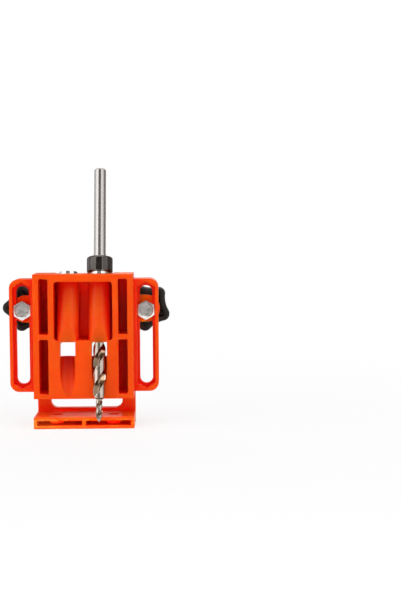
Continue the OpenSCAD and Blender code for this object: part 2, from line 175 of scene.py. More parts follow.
def object_place(tree):
    return add_node(tree, "ShaderNodeTexCoord", {}, {}, out="Object")


def vector_math(tree, operation, a, b, out=0):
    return add_node(tree, "ShaderNodeVectorMath", {"operation": operation}, {0: a, 1: b}, out=out)


def length(tree, vector):
    return add_node(tree, "ShaderNodeVectorMath", {"operation": "LENGTH"}, {0: vector}, out="Value")


print("helpers for finishes are ready")

# %% [markdown]
# ## Studio
# The photograph has a pure white ground. Through Light Path, the world and the floor are
# white for the camera and for mirrors, and the world is weaker for the light that it casts.
# Near the object the floor shows a share of its own lit paper, and that keeps the shadow.

# %% World and floor
AMBIENT = 0.2
FLOOR_HALF = 12
PAPER = (0.9, 0.9, 0.9, 1)
LIT_SHARE = 0.2
FADE_FROM, FADE_TO = 0.1, 0.6


def object_from(bm, name):
    """Makes a finished bmesh an object."""
    data = bpy.data.meshes.new(name)
    bm.to_mesh(data)
    bm.free()
    obj = bpy.data.objects.new(name, data)
    bpy.context.collection.objects.link(obj)
    return obj


def seen_rays(tree):
    """1 for camera, glossy and transmission rays, and 0 for the rest."""
    seen = [add_node(tree, "ShaderNodeLightPath", {}, {}, out=f"Is {ray} Ray")
            for ray in ("Camera", "Glossy", "Transmission")]
    return seen[0] + seen[1] + seen[2]


world = bpy.data.worlds.new("white_ground")
world.use_nodes = True
bpy.context.scene.world = world
tree = world.node_tree
strength = add_node(tree, "ShaderNodeMapRange", {},
                    {"Value": seen_rays(tree), "To Min": AMBIENT, "To Max": 1.0})
tree.links.new(strength.socket, tree.nodes["Background"].inputs["Strength"])
tree.nodes["Background"].inputs["Color"].default_value = (1, 1, 1, 1)

floor_mesh = bmesh.new()
bmesh.ops.create_grid(floor_mesh, x_segments=1, y_segments=1, size=FLOOR_HALF)
floor = object_from(floor_mesh, "floor")

white, tree, shader = new_finish("floor_white", Roughness=0.9, Specular_IOR_Level=0, Base_Color=PAPER)
glow = add_node(tree, "ShaderNodeEmission", {}, {"Color": (1, 1, 1, 1), "Strength": 1.0})
far = step_up(tree, length(tree, object_place(tree)), FADE_FROM, FADE_TO)
fade = (1 - LIT_SHARE) + LIT_SHARE * far
paper = add_node(tree, "ShaderNodeMixShader", {},
                 {0: seen_rays(tree) * fade, 1: Wire(tree, shader.outputs[0]), 2: glow})
tree.links.new(paper.socket, tree.nodes["Material Output"].inputs["Surface"])
floor.data.materials.append(white)
print("floor and world are white to the camera, ambient light", AMBIENT)

# %% [markdown]
# ## Lamps
# Three large soft boxes stand left, right and above, a wide one behind lights the edges, and
# a low strip lights the front. Deep places stay dark in such light, so narrow beams reach
# into the foot, onto the ears behind the wing slots and into the valley between the guide
# tubes, as a photographer's spotlight would. Mirrors see only the three large boxes.

# %% Soft boxes and narrow beams
LAMP_AIM = (0, 0, 0.09)
BEAM_DEG = 2
BEAM_Y = -0.3
VALLEY_Z = 0.090


def middle_of(node):
    low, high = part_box(node)
    return (low + high) / 2


def aim(obj, at, target):
    toward = (Vector(target) - Vector(at)).to_track_quat("-Z", "Y")
    obj.matrix_world = Matrix.Translation(at) @ toward.to_matrix().to_4x4()


def soft_box(name, at, size, power, mirrored=True, target=LAMP_AIM, spread_deg=180):
    light = bpy.data.lights.new(name, "AREA")
    light.shape, light.size, light.size_y, light.energy = "RECTANGLE", size[0], size[1], power
    light.spread = math.radians(spread_deg)
    obj = bpy.data.objects.new(name, light)
    aim(obj, at, target)
    obj.visible_camera = False
    obj.visible_glossy = mirrored
    bpy.context.collection.objects.link(obj)


def beam(name, at, size, power, aim_z):
    """A narrow lamp in front of the object, which mirrors don't see."""
    soft_box(name, at, size, power, mirrored=False, target=(at[0], 0, aim_z), spread_deg=BEAM_DEG)


soft_box("box_left", (-1.3, -0.6, 0.4), (1.5, 1.6), 11.9)
soft_box("box_right", (1.15, -0.9, 0.4), (1.5, 1.6), 8.5)
soft_box("box_top", (0.0, -0.35, 1.4), (1.6, 1.2), 13)
soft_box("box_back", (0.0, 1.2, 0.35), (2.4, 1.0), 14, mirrored=False)
soft_box("fill_low", (0.06, -0.45, 0.03), (0.40, 0.05), 0.18, mirrored=False, target=(0, 0, 0.01))
beam("fill_foot", (0.0, -0.25, 0.0055), (0.20, 0.004), 0.014, 0.0045)
for side in SIDES:
    ear = middle_of(f"clamp_bolt_{side}")
    beam(f"fill_ear_{side}", (ear.x, BEAM_Y, ear.z), (0.012, 0.030), 0.0008, ear.z)
valley = sum(middle_of(f"guide_bushing_{side}").x for side in SIDES) / 2
beam("fill_valley", (valley, BEAM_Y, VALLEY_Z), (0.004, 0.044), 0.00036, VALLEY_Z)
print("five soft boxes and four narrow beams, the valley at x =", round(valley / MM, 1), "mm")

# %% [markdown]
# Steel looks like what it reflects. A lamp hides nothing behind it, so a mirror would see the
# white world through the boxes too. Dark cards that only mirrors see stand in the gaps and
# behind the boxes, and they give the steel its stripes and its edges. A card is an upright
# line that is spun part of the way round the object.

# %% Dark cards
CARD_FOOT_Z = -0.2
CARD_STEPS = 12
NEAR, FAR = 1.6, 2.4
LOW, TALL = 1.6, 2.4


def dark_card(name, from_deg, to_deg, distance, height):
    """Part of an upright drum round the object that only mirrors see."""
    bm = bmesh.new()
    start = Matrix.Rotation(math.radians(from_deg), 3, "Z")
    low = bm.verts.new(start @ Vector((0, -distance, CARD_FOOT_Z)))
    high = bm.verts.new(low.co + Vector((0, 0, height)))
    edge = bm.edges.new((low, high))
    bmesh.ops.spin(bm, geom=[low, high, edge], cent=(0, 0, 0), axis=(0, 0, 1),
                   angle=math.radians(to_deg - from_deg), steps=CARD_STEPS)
    card = object_from(bm, name)
    card.data.materials.append(card_grey)
    card.visible_camera = card.visible_diffuse = card.visible_shadow = False


card_grey = new_finish("card_grey", Roughness=1.0, Specular_IOR_Level=0,
                       Base_Color=(0.40, 0.375, 0.36, 1))[0]
dark_card("card_front", -40, 27, NEAR, TALL)
dark_card("card_left", -175, -132, NEAR, LOW)
dark_card("card_right", 86, 165, NEAR, LOW)
dark_card("card_behind_left", -100, -45, FAR, TALL)
dark_card("card_behind_right", 32, 84, FAR, TALL)
print("five dark cards")

# %% [markdown]
# ## The guides
# Two finishes and the drill need to know where the guides run. The record's mounts give a
# point on each guide and their common slope, so the places come from the CAD model. A mask
# tells what lies near a guide: the cross product of a unit axis and the arm to a place is as
# long as the place is far from the axis.

# %% The two guides, as the record gives them
EDGE_SOFT = 0.2 * MM
CHANNEL_R = 5.75 * MM
WINDOW_SILL = 55 * MM
SILL_SOFT = 0.3 * MM
CHANNEL_RUN = 26 * MM
CHANNEL_SHADE_LOW, CHANNEL_SHADE_RISE = 0.25, 0.45
mounts = {m["name"]: m for m in frame["record"]["mounts"]}
guide = mounts["drill_shank"]
guide_axis = Vector(guide["axis"]).normalized()
guide_point = Vector(guide["pos_m"])
left_point = Vector(mounts["left_guide"]["pos_m"])
guide_slope = math.atan2(guide_axis.y, guide_axis.z)


def within(tree, point, axis, reach):
    """1 nearer than reach to a line, and 0 just past it."""
    arm = vector_math(tree, "SUBTRACT", object_place(tree), point)
    away = length(tree, vector_math(tree, "CROSS_PRODUCT", arm, axis))
    return 1 - step_up(tree, away, reach, reach + EDGE_SOFT)


def channel_painted_shade(tree):
    """The share of a painted shade, a darker colour, on the chip channels' walls, most just under the
    windows.
    """
    height = add_node(tree, "ShaderNodeSeparateXYZ", {}, {0: object_place(tree)}, out="Z")
    under_window = 1 - step_up(tree, height, WINDOW_SILL, WINDOW_SILL + SILL_SOFT)
    both = sum(within(tree, point, guide_axis, CHANNEL_R) for point in (left_point, guide_point))
    rise = step_up(tree, height, WINDOW_SILL - CHANNEL_RUN, WINDOW_SILL)
    return under_window * both * (CHANNEL_SHADE_LOW + CHANNEL_SHADE_RISE * rise)


print("guide slope in degrees:", round(math.degrees(guide_slope), 2))

# %% [markdown]
# ## Finishes
# The mouldings are a strong orange plastic, with a faint cloud where the melt flowed and a
# fine grain from the mould's wall. A little light goes into such a plastic and comes out
# again, red further than green, which subsurface scattering gives. In the photograph hollows are a deeper
# red than bounced light alone makes them, so a painted shade is mixed in: a redder colour where the
# piece's own occlusion is strong, and a darker one on the chip channels. That occlusion sees no other
# piece, so the painted shade stays the same when the parts move.

# %% Orange and black mouldings
SKY_SAMPLES = 24
PAINTED_SHADE_REACH, PAINTED_SHADE_GAIN = 20 * MM, 2.0
SCATTER = (1, 0.12, 0.05)
CLOUD_FROM, CLOUD_TO = 0.35, 0.7
GRAIN_SCALE, PEEL_SCALE = 2600, 420
CHANNEL_SHADE_RED = (0.40, 0.003, 0.0010, 1)


def open_sky(tree, reach):
    """1 on an open face, and less where the piece's own walls stand within reach."""
    return add_node(tree, "ShaderNodeAmbientOcclusion", {"samples": SKY_SAMPLES, "only_local": True},
                    {"Distance": reach}, out="AO")


def moulded_plastic(name, deep, pale, hollow, rough, cloud_scale, grain_depth, gloss, glow, reach,
                    channels=False):
    material, tree, shader = new_finish(name, Specular_IOR_Level=gloss, Subsurface_Weight=glow,
                                        Subsurface_Radius=SCATTER, Subsurface_Scale=reach)
    place = object_place(tree)
    cloud = step_up(tree, noise(tree, place, cloud_scale, 4.0), CLOUD_FROM, CLOUD_TO)
    grain = noise(tree, place, GRAIN_SCALE, 3.0)
    orange_peel = noise(tree, place, PEEL_SCALE, 2.0)
    # The hollow colour is a painted shade, mixed in by how much of the piece's own walls close round a
    # place.
    painted_shade_share = PAINTED_SHADE_GAIN * (1 - open_sky(tree, PAINTED_SHADE_REACH))
    colour = colour_mix(tree, painted_shade_share, colour_mix(tree, cloud, deep, pale), hollow)
    # The chip channels get a darker colour as painted shade.
    if channels:
        colour = colour_mix(tree, channel_painted_shade(tree), colour, CHANNEL_SHADE_RED)
    feed(tree, shader, Base_Color=colour,
         Roughness=rough + 0.10 * grain - 0.04 * cloud,
         Normal=bump(tree, 0.6 * grain + orange_peel, grain_depth, 0.5))
    return material


# Each moulding's hollow colour is the painted shade of its recesses.
orange_moulding = moulded_plastic(
    "orange_moulding", deep=(0.90, 0.089, 0.0025, 1), pale=(0.94, 0.104, 0.0035, 1),
    hollow=(0.88, 0.018, 0.0020, 1), rough=0.32, cloud_scale=55, grain_depth=0.06 * MM,
    gloss=0.14, glow=0.85, reach=5 * MM, channels=True)
black_moulding = moulded_plastic(
    "black_moulding", deep=(0.015, 0.0125, 0.0115, 1), pale=(0.021, 0.018, 0.0165, 1),
    hollow=(0.010, 0.008, 0.0075, 1), rough=0.42, cloud_scale=120, grain_depth=0.08 * MM,
    gloss=0.2, glow=0, reach=1 * MM)
print("mouldings:", orange_moulding.name, black_moulding.name)

# %% [markdown]
# Metal shows how it was made. The drill and the bushings are ground round their axis, which
# leaves rings too fine to count. So noise is stretched flat across the guide's slope, and it
# stays faint, because coarse rings would break up the stripes that the steel reflects.

# %% Ground steel
RING_STRETCH, RING_SCALE = (12, 12, 1100), 3.0
RING_DEPTH, RING_STRENGTH = 0.001 * MM, 0.02
SMUDGE_SCALE, SMUDGE_FROM, SMUDGE_TO = 70, 0.4, 0.75


def along_guide(tree, stretch):
    """Object coordinates turned so that Z runs along the guide, and stretched."""
    return add_node(tree, "ShaderNodeMapping", {"vector_type": "POINT"},
                    {"Vector": object_place(tree), "Rotation": (guide_slope, 0, 0), "Scale": stretch})


def ground_steel(name, pale, dull, rough):
    """Steel ground round the guide's axis, and the parts of its sum that a drill adds to."""
    material, tree, shader = new_finish(name, Metallic=1.0)
    rings = noise(tree, along_guide(tree, RING_STRETCH), RING_SCALE, 3.0)
    smudge = step_up(tree, noise(tree, object_place(tree), SMUDGE_SCALE, 3.0), SMUDGE_FROM, SMUDGE_TO)
    colour = colour_mix(tree, 0.65 * rings + 0.25 * smudge, pale, dull)
    feed(tree, shader, Base_Color=colour, Roughness=rough + 0.02 * rings + 0.04 * smudge,
         Normal=bump(tree, rings, RING_DEPTH, RING_STRENGTH))
    return material, tree, shader, colour, smudge


bushing_steel = ground_steel("bushing_steel", (0.78, 0.77, 0.75, 1), (0.62, 0.61, 0.59, 1), 0.12)[0]
print("ground steel:", bushing_steel.name)

# %% [markdown]
# The drill's flutes were left as they came from the temper, a thin brown oxide, and only the
# lands and the point are ground bright. Distance from the drill's axis tells them apart, so
# the finish works that out from the place: the part of it along the axis is taken off, and
# the length of the rest is the radius.

# %% Drill steel with brown flutes
DRILL_R = 4.75 * MM
PILOT_R = 2.5 * MM
PILOT_L = 17 * MM
FLUTE_L = 64 * MM
POINT_DEG = 70
POINT_H = PILOT_R / math.tan(math.radians(POINT_DEG / 2))
STEP_FROM, STEP_TO = PILOT_L - 0.2 * MM, PILOT_L + 0.9 * MM
FLUTE_EDGE_FROM, FLUTE_EDGE_TO = 0.86, 0.95
FLUTE_END, FLUTE_FADE = PILOT_L + FLUTE_L, 4 * MM

along = [(v.co - guide_point).dot(guide_axis) for v in frame["nodes"]["drill_bit"].data.vertices]
tip_s, top_s = min(along), max(along)
drill_steel, tree, shader, bright, smudge = ground_steel(
    "drill_steel", (0.51, 0.49, 0.475, 1), (0.46, 0.44, 0.425, 1), 0.12)
from_tip = vector_math(tree, "SUBTRACT", object_place(tree), guide_point + tip_s * guide_axis)
height = vector_math(tree, "DOT_PRODUCT", from_tip, guide_axis, out="Value")
on_axis = add_node(tree, "ShaderNodeVectorMath", {"operation": "SCALE"},
                   {0: tuple(guide_axis), "Scale": height})
off_axis = vector_math(tree, "SUBTRACT", from_tip, on_axis)
radius = length(tree, off_axis)
land_r = PILOT_R + (DRILL_R - PILOT_R) * step_up(tree, height, STEP_FROM, STEP_TO)
past_point = step_up(tree, height, 0.5 * POINT_H, POINT_H)
in_flute = past_point * (1 - step_up(tree, radius / land_r, FLUTE_EDGE_FROM, FLUTE_EDGE_TO))
above_flutes = step_up(tree, height, FLUTE_END - FLUTE_FADE, FLUTE_END)
brown = colour_mix(tree, smudge, (0.30, 0.205, 0.135, 1), (0.20, 0.13, 0.085, 1))
land = colour_mix(tree, smudge, (0.49, 0.42, 0.36, 1), (0.38, 0.31, 0.25, 1))
worked = colour_mix(tree, in_flute, land, brown)
feed(tree, shader, Base_Color=colour_mix(tree, above_flutes, worked, bright))
print("drill from", round(tip_s / MM, 1), "to", round(top_s / MM, 1), "mm along the guide")

# %% [markdown]
# The bolts and washers are zinc plated and carry the small dents of a tumbling drum, the
# collar is blacked steel, and the inserts are brass. All three are a clean metal with dull
# patches and shallow dents, so one helper makes them.

# %% Zinc plate, black oxide and brass
DENT_SCALE, DENT_STRENGTH = 600, 0.7
PATCH_SCALE, PATCH_FROM, PATCH_TO = 160, 0.38, 0.66


def plated_metal(name, pale, dull, rough, dents):
    material, tree, shader = new_finish(name, Metallic=1.0)
    place = object_place(tree)
    dent = noise(tree, place, DENT_SCALE, 3.0)
    patch = step_up(tree, noise(tree, place, PATCH_SCALE, 3.0), PATCH_FROM, PATCH_TO)
    colour = colour_mix(tree, patch, pale, dull)
    feed(tree, shader, Base_Color=colour, Roughness=rough + 0.10 * patch + 0.08 * dent,
         Normal=bump(tree, dent, dents, DENT_STRENGTH))
    return material, tree, shader, colour


ZINC = ((0.53, 0.50, 0.475, 1), (0.33, 0.305, 0.285, 1), 0.10, 0.12 * MM)
zinc_plate = plated_metal("zinc_plate", *ZINC)[0]
black_oxide = plated_metal("black_oxide", (0.078, 0.069, 0.065, 1), (0.10, 0.089, 0.084, 1),
                           0.04, 0.004 * MM)[0]
turned_brass = plated_metal("turned_brass", (0.78, 0.52, 0.20, 1), (0.60, 0.38, 0.13, 1),
                            0.22, 0.03 * MM)[0]
print("plated metals:", zinc_plate.name, black_oxide.name, turned_brass.name)

# %% [markdown]
# ## Mouldings with rounded edges
# A moulded edge is never sharp: the mould and the melt leave a small radius that catches a
# line of light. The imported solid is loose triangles, so a copy of it is merged, its flat faces
# are joined again, and a Bevel modifier rounds its edges. Bevels break where a sloped guide
# cuts a wall at a thin angle, so the block gives a bevel weight only to edges between walls
# that stand square to the front. The CAD node itself stays untouched and hidden.

# %% Rounded copies of the solids
WELD = 0.002 * MM
FLAT_DEG, CREASE_DEG, SHARP_DEG = 0.4, 13, 32
ROUND_SEGMENTS = 3
SQUARE_TOLERANCE = 0.001


def finish_piece(obj, node, body, material):
    obj.data.materials.clear()
    obj.data.materials.append(material)
    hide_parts(node)
    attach(obj, body)


def square_to_front(face):
    return abs(face.normal.y) < SQUARE_TOLERANCE or abs(face.normal.y) > 1 - SQUARE_TOLERANCE


def rounded_copy(name, node, body, material, radius, rounds=lambda face: True):
    bm = bmesh.new()
    bm.from_mesh(frame["nodes"][node].data)
    bmesh.ops.remove_doubles(bm, verts=bm.verts, dist=WELD)
    bmesh.ops.dissolve_limit(bm, angle_limit=math.radians(FLAT_DEG), verts=bm.verts, edges=bm.edges)
    for face in bm.faces:
        face.smooth = True
    weight = bm.edges.layers.float.new("bevel_weight_edge")
    for edge in bm.edges:
        angle = math.degrees(edge.calc_face_angle())
        edge.smooth = angle < CREASE_DEG
        if angle > SHARP_DEG and all(rounds(f) for v in edge.verts for f in v.link_faces):
            edge[weight] = 1
    obj = object_from(bm, name)
    edge_round = obj.modifiers.new("edge_round", "BEVEL")
    edge_round.width, edge_round.segments, edge_round.profile = radius, ROUND_SEGMENTS, 0.5
    edge_round.limit_method = "WEIGHT"
    edge_round.use_clamp_overlap = False
    edge_round.harden_normals = True
    finish_piece(obj, node, body, material)
    print(name, "from", node, "with", len(obj.data.polygons), "faces, edges rounded to",
          round(radius / MM, 2), "mm")


rounded_copy("block_moulding", "drill_block", "block", orange_moulding, 0.45 * MM,
             rounds=square_to_front)
rounded_copy("base_moulding", "base_frame", "base", orange_moulding, 0.5 * MM)

# %% [markdown]
# The small turned parts have the right shape already. They only need the fine break that a
# turner puts on each edge, so the same helper rounds them, with a smaller radius.

# %% Bushings, collar, washers and inserts
for side in SIDES:
    rounded_copy(f"bushing_{side}", f"guide_bushing_{side}", "block", bushing_steel,
                 0.25 * MM)
    rounded_copy(f"flat_washer_{side}", f"washer_{side}", "base", zinc_plate, 0.15 * MM)
    rounded_copy(f"brass_insert_{side}", f"knob_insert_{side}", f"{side}_knob", turned_brass,
                 0.2 * MM)
rounded_copy("collar", "stop_collar", "collar", black_oxide, 0.3 * MM)
rounded_copy("set_screw", "collar_set_screw", "collar", black_oxide, 0.12 * MM)

# %% [markdown]
# ## Star knobs
# A star knob is five round lobes joined by hollow arcs, with a rounded rim, a hollow
# underside and thin ribs from its hub to its lobes. One circle is pulled into the star's
# outline, its face is extruded, its two rims are bevelled round, and the underside is inset
# and pushed in. Hub and ribs are set into the hollow, and a hole runs through the crown, in
# which the end of the bolt shows.

# %% The star's outline
LOBES = 5
LOBE_R = 5.2 * MM
LOBE_DIP = 4.0 * MM
half = math.pi / LOBES


def star_radius(angle, tip_r):
    """Radius of the star at an angle from a lobe's middle."""
    lobe_at = tip_r - LOBE_R
    waist = tip_r - LOBE_DIP
    gap = LOBE_R - waist
    hollow_at = (lobe_at ** 2 - gap ** 2) / (2 * gap + 2 * lobe_at * math.cos(half))
    hollow_r = hollow_at - waist
    toward = Vector((hollow_at * math.cos(half) - lobe_at, hollow_at * math.sin(half))).normalized()
    touch = Vector((lobe_at, 0)) + LOBE_R * toward
    a = abs((angle + half) % (2 * half) - half)
    if a < math.atan2(touch.y, touch.x):
        return lobe_at * math.cos(a) + math.sqrt(LOBE_R ** 2 - (lobe_at * math.sin(a)) ** 2)
    b = half - a
    return hollow_at * math.cos(b) - math.sqrt(hollow_r ** 2 - (hollow_at * math.sin(b)) ** 2)


print("a lobe every", round(math.degrees(2 * half)), "degrees")

# %% The lobed body, its hollow and the hole in its crown
STAR_POINTS = 160
KNOB_RIM = 2.6 * MM
KNOB_HOLLOW = 7.0 * MM
RIM_ROUND = 2.0 * MM
RIM_SEGMENTS = 5
HUB_R = 9.0 * MM
HUB_LAP = 0.6 * MM
BOLT_HOLE_R = 4.4 * MM
CHAMFER = 0.5 * MM
RING_INSET = 0.3 * MM
INSERT_COVER = 2 * MM


def new_verts(made):
    return [g for g in made["geom"] if isinstance(g, bmesh.types.BMVert)]


def new_face(made):
    return next(g for g in made["geom"] if isinstance(g, bmesh.types.BMFace))


def star_body(bm, tip_r, thick):
    """The lobed body, from z = 0 at its underside to thick at its crown."""
    ring = bmesh.ops.create_circle(bm, cap_ends=True, segments=STAR_POINTS, radius=1)["verts"]
    for v in ring:
        v.co = v.co.normalized() * star_radius(math.atan2(v.co.y, v.co.x), tip_r)
    crown = bmesh.ops.extrude_face_region(bm, geom=[ring[0].link_faces[0]])
    bmesh.ops.translate(bm, verts=new_verts(crown), vec=(0, 0, thick))
    rims = [e for e in bm.edges if abs(e.verts[0].co.z - e.verts[1].co.z) < thick / 2]
    bmesh.ops.bevel(bm, geom=rims, offset=RIM_ROUND, offset_type="OFFSET", segments=RIM_SEGMENTS,
                    profile=0.5, affect="EDGES", material=-1)
    bmesh.ops.recalc_face_normals(bm, faces=bm.faces)


def inner_circle(bm, face, radius, rise=0.0):
    """Insets a flat face and draws the inner ring in to a circle."""
    bmesh.ops.inset_region(bm, faces=[face], thickness=RING_INSET, use_even_offset=True)
    for v in face.verts:
        v.co.xy = v.co.xy.normalized() * radius
        v.co.z += rise


def hollow_under(bm):
    under = min(bm.faces, key=lambda f: f.calc_center_median().z)
    bmesh.ops.inset_region(bm, faces=[under], thickness=KNOB_RIM - RIM_ROUND * 0.45, use_even_offset=True)
    floor_face = new_face(bmesh.ops.extrude_face_region(bm, geom=[under]))
    bmesh.ops.delete(bm, geom=[under], context="FACES_ONLY")
    bmesh.ops.translate(bm, verts=floor_face.verts, vec=(0, 0, KNOB_HOLLOW))
    inner_circle(bm, floor_face, HUB_R - HUB_LAP)
    bmesh.ops.delete(bm, geom=[floor_face], context="FACES_ONLY")


def hole_in_crown(bm):
    crown = max(bm.faces, key=lambda f: f.calc_center_median().z)
    top = crown.calc_center_median().z
    for radius, rise in ((HUB_R, 0.0), (HUB_R - CHAMFER, -CHAMFER), (BOLT_HOLE_R + CHAMFER, 0.0),
                         (BOLT_HOLE_R, -CHAMFER), (BOLT_HOLE_R, KNOB_HOLLOW + INSERT_COVER - top)):
        inner_circle(bm, crown, radius, rise)
    bmesh.ops.delete(bm, geom=[crown], context="FACES_ONLY")


print("knob hollow in mm:", round(KNOB_HOLLOW / MM, 1))

# %% Hub and ribs, and both knobs in place
HUB_H = 4.0 * MM
HUB_POINTS = 48
HUB_ROOT = KNOB_HOLLOW + 1 * MM
INSERT_SEAT_R = 5.54 * MM
RIB_T = 1.6 * MM
RIB_FROM = HUB_R * 0.8
RIB_SET_IN = 1 * MM
KNOB_CREASE_DEG = 40


def hub_and_ribs(bm, rib_reach):
    profile = [bm.verts.new(p) for p in (
        (BOLT_HOLE_R, 0, HUB_ROOT), (INSERT_SEAT_R, 0, HUB_ROOT), (INSERT_SEAT_R, 0, -HUB_H),
        (HUB_R - 0.9 * MM, 0, -HUB_H), (HUB_R - 0.5 * MM, 0, -HUB_H + 0.4 * MM), (HUB_R, 0, HUB_ROOT))]
    edges = [bm.edges.new(pair) for pair in zip(profile, profile[1:])]
    bmesh.ops.spin(bm, geom=profile + edges, cent=(0, 0, 0), axis=(0, 0, 1), angle=2 * math.pi,
                   steps=HUB_POINTS, use_merge=True)
    for i in range(LOBES):
        rib = bmesh.ops.create_cube(bm, size=1)["verts"]
        bmesh.ops.scale(bm, verts=rib, vec=(rib_reach - RIB_FROM, RIB_T, KNOB_HOLLOW - RIB_SET_IN))
        rib_middle = ((rib_reach + RIB_FROM) / 2, 0, KNOB_HOLLOW / 2 + RIB_SET_IN)
        bmesh.ops.translate(bm, verts=rib, vec=rib_middle)
        bmesh.ops.rotate(bm, verts=rib, matrix=Matrix.Rotation(2 * half * i, 3, "Z"))


def seated(bm, name, seat, crease_deg):
    """Moves a new shape to its seat and makes it a smooth object with sharp creases."""
    for face in bm.faces:
        face.smooth = True
    bmesh.ops.transform(bm, matrix=seat, verts=bm.verts)
    obj = object_from(bm, name)
    obj.data.set_sharp_from_angle(angle=math.radians(crease_deg))
    return obj


def star_knob(side):
    low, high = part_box(f"knob_{side}")
    middle = middle_of(f"knob_insert_{side}")
    points = frame["nodes"][f"knob_{side}"].data.vertices
    tip = max((v.co for v in points), key=lambda p: math.hypot(p.x - middle.x, p.z - middle.z))
    tip_r = math.hypot(tip.x - middle.x, tip.z - middle.z)
    bm = bmesh.new()
    star_body(bm, tip_r, high.y - low.y - HUB_H)
    hollow_under(bm)
    hole_in_crown(bm)
    hub_and_ribs(bm, tip_r - KNOB_RIM)
    first_lobe = math.atan2(tip.z - middle.z, tip.x - middle.x)
    seat = (Matrix.Translation((middle.x, low.y + HUB_H, middle.z)) @ Matrix.Rotation(-first_lobe, 4, "Y")
            @ Matrix.Rotation(-math.pi / 2, 4, "X"))
    obj = seated(bm, f"star_knob_{side}", seat, KNOB_CREASE_DEG)
    finish_piece(obj, f"knob_{side}", f"{side}_knob", black_moulding)
    print(obj.name, "tip radius in mm:", round(tip_r / MM, 2), "faces:", len(obj.data.polygons))


for side in SIDES:
    star_knob(side)

# %% [markdown]
# ## Clamp bolts
# A hex head is a six-sided prism whose corners a cone has cut to a round face. The face is a
# little dished and dull, and the sloped rim round it is bright, so the finish tells the two
# apart by their distance from the bolt's axis. The shank carries a thread. A thread's cross
# section is a circle pushed off to one side, so turning that section as it climbs, which is
# what spin does when it is given a rise, makes the thread.

# %% Finish of the heads
HEAD_FLATS = 13 * MM
FACE_SHARE = 0.86
RIM_BRIGHT = (0.88, 0.855, 0.83, 1)

bolt_zinc, tree, shader, dull_face = plated_metal("bolt_zinc", *ZINC)
bolt_middles = [middle_of(f"clamp_bolt_{side}") for side in SIDES]
on_face = sum(within(tree, middle, (0, 1, 0), HEAD_FLATS / 2 * FACE_SHARE) for middle in bolt_middles)
feed(tree, shader, Base_Color=colour_mix(tree, on_face, RIM_BRIGHT, dull_face))
print("bolt finish:", bolt_zinc.name)

# %% Thread
THREAD_PITCH = 1.25 * MM
THREAD_DEPTH = 0.55 * MM
THREAD_LENGTH = 22 * MM
SHANK_POINTS = 24
STEPS_PER_TURN = 20


def close_ends(bm):
    bmesh.ops.holes_fill(bm, edges=[e for e in bm.edges if e.is_boundary], sides=0)


def edges_of(ring):
    return list({e for v in ring for e in v.link_edges})


def threaded_shank(bm, radius, start, end):
    """A shank along Z, plain from start, and threaded to end."""
    ring = bmesh.ops.create_circle(bm, segments=SHANK_POINTS, radius=radius)["verts"]
    plain = bmesh.ops.extrude_edge_only(bm, edges=edges_of(ring))
    bmesh.ops.translate(bm, verts=ring, vec=(0, 0, start))
    bmesh.ops.translate(bm, verts=new_verts(plain), vec=(0, 0, end - THREAD_LENGTH))
    ring = bmesh.ops.create_circle(bm, segments=SHANK_POINTS, radius=radius)["verts"]
    for v in ring:
        share = abs(math.atan2(v.co.y, v.co.x)) / math.pi
        v.co *= 1 - THREAD_DEPTH / radius * min(1, max(0, 1.25 * share - 0.125))
        v.co.z = end - THREAD_LENGTH
    turns = THREAD_LENGTH / THREAD_PITCH
    steps = int(turns * STEPS_PER_TURN)
    bmesh.ops.spin(bm, geom=ring + edges_of(ring), cent=(0, 0, 0), axis=(0, 0, 1),
                   angle=turns * 2 * math.pi, steps=steps, dvec=(0, 0, THREAD_LENGTH / steps))
    close_ends(bm)
    bmesh.ops.recalc_face_normals(bm, faces=bm.faces)


print("thread turns:", round(THREAD_LENGTH / THREAD_PITCH, 1))

# %% Head, and both bolts in place
HEAD_H = 5.3 * MM
HEAD_POINTS = 48
RIM_SLOPE = math.radians(14)
DISH = ((0.15 * MM, 0.0), (0.4 * MM, 0.3 * MM))
BOLT_R = 4.0 * MM
BOLT_CREASE_DEG = 22
flat_half = math.pi / 6


def hex_head(bm, flats):
    """A head from z = 0 at its face to HEAD_H at its seat, open at the seat."""
    face_r = flats / 2 * FACE_SHARE
    head = bmesh.ops.create_circle(bm, cap_ends=True, segments=HEAD_POINTS, radius=1)["verts"]
    for v in head:
        v.co = v.co.normalized() * face_r
    rim = bmesh.ops.extrude_face_region(bm, geom=[head[0].link_faces[0]])
    for v in new_verts(rim):
        a = (math.atan2(v.co.y, v.co.x) + flat_half) % (2 * flat_half) - flat_half
        reach = flats / 2 / math.cos(a)
        v.co = v.co.normalized() * reach
        v.co.z = (reach - face_r) * math.tan(RIM_SLOPE)
    back = new_face(rim)
    sides = bmesh.ops.extrude_face_region(bm, geom=[back])
    bmesh.ops.delete(bm, geom=[back], context="FACES_ONLY")
    for v in new_verts(sides):
        v.co.z = HEAD_H
    dish = min(bm.faces, key=lambda f: f.calc_center_median().z)
    for inset, push in DISH:
        bmesh.ops.inset_region(bm, faces=[dish], thickness=inset, use_even_offset=True)
        bmesh.ops.translate(bm, verts=dish.verts, vec=(0, 0, push))
    bmesh.ops.recalc_face_normals(bm, faces=bm.faces)


def clamp_bolt(side):
    node = f"clamp_bolt_{side}"
    low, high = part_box(node)
    middle = middle_of(node)
    flats = high.x - low.x
    bm = bmesh.new()
    hex_head(bm, flats)
    threaded_shank(bm, BOLT_R, HEAD_H * 0.6, high.y - low.y - 0.3 * MM)
    seat = Matrix.Translation((middle.x, low.y, middle.z)) @ Matrix.Rotation(-math.pi / 2, 4, "X")
    obj = seated(bm, f"bolt_{side}", seat, BOLT_CREASE_DEG)
    finish_piece(obj, node, f"{side}_bolt", bolt_zinc)
    print(obj.name, "across flats in mm:", round(flats / MM, 2), "faces:", len(obj.data.polygons))


for side in SIDES:
    clamp_bolt(side)

# %% [markdown]
# ## The stepped drill
# A twist drill is one cross section that turns as it climbs: two round flutes, and between
# them two lands, each with a narrow margin that rubs and a relieved back. Spin with a rise
# makes the body. The same section at a smaller scale makes the pilot, which turns faster,
# and the point is the last ring drawn in to a short chisel edge.

